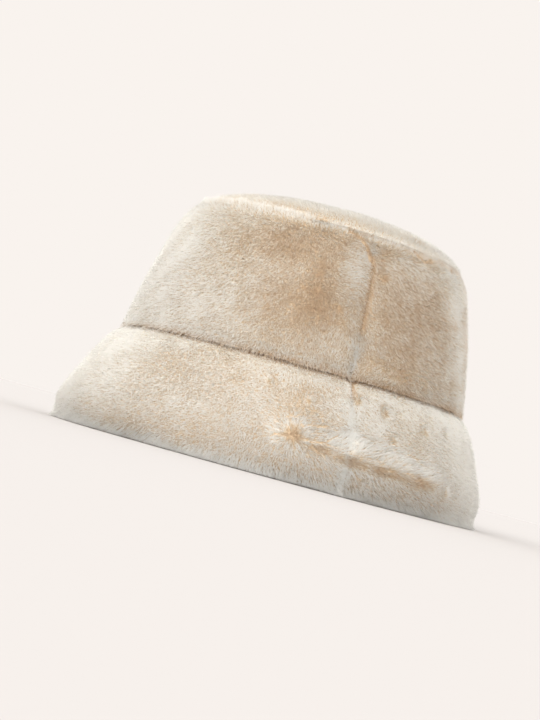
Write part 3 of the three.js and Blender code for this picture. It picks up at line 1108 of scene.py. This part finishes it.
def root_material(pile):
    """Dense brown feet of the pile, seen between the fibres, with painted shade: dark speckle, and the
    seam colour along seams and in the deep gaps under brown pile.
    """
    material, tree, principled = shader("pile_roots", Roughness=0.95, Specular_IOR_Level=0.1)
    speckle = texture(tree, "ShaderNodeTexNoise", Scale=900.0, Detail=3.0)
    colour = mixed(tree, speckle.outputs["Fac"], [ROOT_SPECK_AND_SHADE * c for c in pile.root], pile.root)
    colour = mixed(tree, carried(tree, "brown"), colour, pile.seam)
    link(colour, principled.inputs["Base Color"])
    return material


def knit_material(pile):
    """Knitted back of the fur, in fine loops."""
    material, tree, principled = shader("knit_backing", Roughness=0.9, Specular_IOR_Level=0.1)
    loops = texture(tree, "ShaderNodeTexVoronoi", Scale=650.0)
    blotch = texture(tree, "ShaderNodeTexNoise", Scale=60.0, Detail=4.0)
    colour = mixed(tree, blotch.outputs["Fac"], [KNIT_DARK * c for c in pile.backing], pile.backing)
    link(colour, principled.inputs["Base Color"])
    bump = node_at(tree, "ShaderNodeBump", Strength=0.5, Distance=0.4 * MM)
    link(loops.outputs["Distance"], bump.inputs["Height"])
    link(bump.outputs["Normal"], principled.inputs["Normal"])
    return material


def kept(name, make):
    """A material by name, made the first time."""
    return bpy.data.materials.get(name) or make()


# Pieces

# Finishes of the fur by the record's slot: the material, how brown it is and how bright its tips are. The
# under fur is painted shade: a browner copy with dimmer tips, for the brim's under side that faces the
# floor.
FINISHES = {"cream_fur": ("cream_plush", 0.0, 1.0), "under_fur": ("shaded_under_plush", 0.12, 0.94)}


def add_piece(name, mesh, materials):
    """Puts a mesh in the scene, riding on the hat."""
    piece = bpy.data.objects.new(name, mesh)
    bpy.context.scene.collection.objects.link(piece)
    for material in materials:
        mesh.materials.append(material)
    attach(piece, "root")
    return piece


def dress(panel, scene, finish):
    """Backing and pile of a panel in place of its solid."""
    pile = scene.hat_pile
    draw = np.random.default_rng(pile.seed + len(bpy.data.objects))
    cloth = read_cloth(panel, scene.hat_sizes)
    roots = kept("pile_roots", lambda: root_material(pile))
    knit = kept("knit_backing", lambda: knit_material(pile))
    # Painted shade: the under fur is browner and its tips dimmer.
    name, brown, tip_shading = FINISHES[finish]
    fur = kept(name, lambda: fur_material(name, pile, brown, [tip_shading * c for c in pile.tip]))
    backing_name, pile_name = f"{panel.node}_backing", f"{panel.node}_pile"
    mesh = backing_mesh(backing_name, panel.kind, cloth, SHEET_DEPTH * pile.depth)
    sheet = add_piece(backing_name, mesh, [roots, knit])
    curves = grow(panel, cloth, pile, draw)
    plush = add_piece(pile_name, pile_mesh(pile_name, curves, pile.fibre_width, draw), [fur])
    for piece in (sheet, plush):
        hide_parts(panel.node)


def dress_all(panels, scene, finish):
    """Dresses like panels for their operator."""
    for panel in panels:
        dress(panel, scene, finish)
    return {"FINISHED"}


class HAT_OT_crown_top(bpy.types.Operator):
    """Oval crown top"""

    bl_idname = "hat.crown_top"
    bl_label = "Crown Top"

    def execute(self, context):
        return dress_all(CROWN_TOP, context.scene, "cream_fur")


class HAT_OT_crown_side(bpy.types.Operator):
    """Front and back halves of the crown side"""

    bl_idname = "hat.crown_side"
    bl_label = "Crown Side"

    def execute(self, context):
        return dress_all(CROWN_SIDE, context.scene, "cream_fur")


class HAT_OT_brim_upper(bpy.types.Operator):
    """Front and back halves of the brim's upper side"""

    bl_idname = "hat.brim_upper"
    bl_label = "Brim Upper Side"

    def execute(self, context):
        return dress_all(BRIM_UPPER, context.scene, "cream_fur")


class HAT_OT_brim_under(bpy.types.Operator):
    """Front and back halves of the brim's under side"""

    bl_idname = "hat.brim_under"
    bl_label = "Brim Under Side"

    def execute(self, context):
        return dress_all(BRIM_UNDER, context.scene, "under_fur")


# Stage

def make_floor(scene, stage):
    """Pale floor, far wider than the picture, with a faint grain."""
    far = FLOOR_REACH
    corners = [(-far, -far, 0), (far, -far, 0), (far, far, 0), (-far, far, 0)]
    mesh = bpy.data.meshes.new("floor")
    mesh.from_pydata(corners, [], [(0, 1, 2, 3)])
    floor = bpy.data.objects.new("floor", mesh)
    scene.collection.objects.link(floor)
    material, tree, principled = shader("pale_floor", Roughness=1.0, Specular_IOR_Level=0.0)
    grain = node_at(tree, "ShaderNodeTexNoise", Scale=3.0, Detail=2.0)
    colour = mixed(tree, grain.outputs["Fac"], stage.floor, [c + FLOOR_GRAIN for c in stage.floor])
    link(colour, principled.inputs["Base Color"])
    mesh.materials.append(material)


def picture_axes(stage):
    """Ways to the camera, to the picture's right and up, before it is rolled."""
    a = stage.azimuth
    back = Vector((math.sin(a), -math.cos(a), 0))
    right = Vector((math.cos(a), math.sin(a), 0))
    return back, right, Vector((0, 0, 1))


def make_lights(scene, stage):
    """Soft key from the picture's upper left and even light from all round."""
    back, right, up = picture_axes(stage)
    ways = zip(stage.key_way, (right, up, back))
    to_light = sum((share * way for share, way in ways), Vector()).normalized()
    lamp = bpy.data.lights.new("key", "SUN")
    lamp.energy = stage.key
    lamp.angle = stage.key_spread
    lamp.color = stage.light
    key = bpy.data.objects.new("key", lamp)
    key.rotation_euler = to_light.to_track_quat("Z", "Y").to_euler()
    scene.collection.objects.link(key)
    scene.world = bpy.data.worlds.new("studio")
    scene.world.use_nodes = True
    tree = scene.world.node_tree
    fill = tree.nodes["Background"]
    set_inputs(fill, Color=(*stage.light, 1))
    coords = tree.nodes.new("ShaderNodeTexCoord")
    split = tree.nodes.new("ShaderNodeSeparateXYZ")
    link(coords.outputs["Generated"], split.inputs[0])
    falling = node_at(tree, "ShaderNodeMapRange", To_Min=stage.level_fill, To_Max=stage.high_fill)
    link(split.outputs["Z"], falling.inputs["Value"])
    link(falling.outputs["Result"], fill.inputs["Strength"])
    seen = node_at(tree, "ShaderNodeBackground", Color=(*stage.backdrop, 1))
    path = tree.nodes.new("ShaderNodeLightPath")
    mix = tree.nodes.new("ShaderNodeMixShader")
    link(path.outputs["Is Camera Ray"], mix.inputs[0])
    link(fill.outputs[0], mix.inputs[1])
    link(seen.outputs[0], mix.inputs[2])
    link(mix.outputs[0], tree.nodes["World Output"].inputs["Surface"])


def make_camera(scene, stage):
    """Camera low in front of the side seam, rolled so that the hat leans as in the photo."""
    back, right, up = picture_axes(stage)
    low, high = cad_box
    middle = Vector((0, 0, (low[2] + high[2]) / 2))
    data = bpy.data.cameras.new("camera")
    data.sensor_width = 36
    data.lens = data.sensor_width * stage.distance / (IMAGE_HEIGHT * stage.pixel)
    data.clip_start = 0.01
    camera = bpy.data.objects.new("camera", data)
    place = back * stage.distance + up * stage.camera_height
    view = (middle - place).normalized()
    level_up = right.cross(view).normalized()
    roll = stage.roll
    picture_right = right * math.cos(roll) + level_up * math.sin(roll)
    picture_up = level_up * math.cos(roll) - right * math.sin(roll)
    off_right = (stage.middle_x - IMAGE_WIDTH / 2) * stage.pixel
    off_up = (IMAGE_HEIGHT / 2 - stage.middle_y) * stage.pixel
    aim = middle - picture_right * off_right - picture_up * off_up
    ahead = (aim - place).normalized()
    side = ahead.cross(picture_up).normalized()
    top = side.cross(ahead)
    turn = Matrix((side, top, -ahead)).transposed().to_4x4()
    camera.matrix_world = Matrix.Translation(place) @ turn
    scene.collection.objects.link(camera)
    scene.camera = camera


class HAT_OT_stage(bpy.types.Operator):
    """Floor, lights and camera"""

    bl_idname = "hat.stage"
    bl_label = "Stage"

    def execute(self, context):
        scene = context.scene
        make_floor(scene, scene.hat_stage)
        make_lights(scene, scene.hat_stage)
        make_camera(scene, scene.hat_stage)
        scene.view_settings.view_transform = "Standard"
        return {"FINISHED"}


OPERATORS = (HAT_OT_crown_top, HAT_OT_crown_side, HAT_OT_brim_upper, HAT_OT_brim_under, HAT_OT_stage)


class HAT_PT_panel(bpy.types.Panel):
    """Settings and steps of the hat"""

    bl_idname = "HAT_PT_panel"
    bl_label = "Plush Bucket Hat"
    bl_space_type = "VIEW_3D"
    bl_region_type = "UI"
    bl_category = "Hat"

    def draw(self, context):
        for label, group in SETTINGS:
            box = self.layout.box()
            for name in group.__annotations__:
                box.prop(getattr(context.scene, label), name)
        for operator in OPERATORS:
            self.layout.operator(operator.bl_idname)


CLASSES = (*(group for _, group in SETTINGS), *OPERATORS, HAT_PT_panel)


def register():
    for cls in CLASSES:
        bpy.utils.register_class(cls)
    for label, group in SETTINGS:
        setattr(bpy.types.Scene, label, PointerProperty(type=group))


def unregister():
    for label, _ in SETTINGS:
        delattr(bpy.types.Scene, label)
    for cls in reversed(CLASSES):
        bpy.utils.unregister_class(cls)


def main():
    register()
    bpy.ops.hat.crown_top()
    bpy.ops.hat.crown_side()
    bpy.ops.hat.brim_upper()
    bpy.ops.hat.brim_under()
    bpy.ops.hat.stage()


if __name__ == "__main__":
    main()
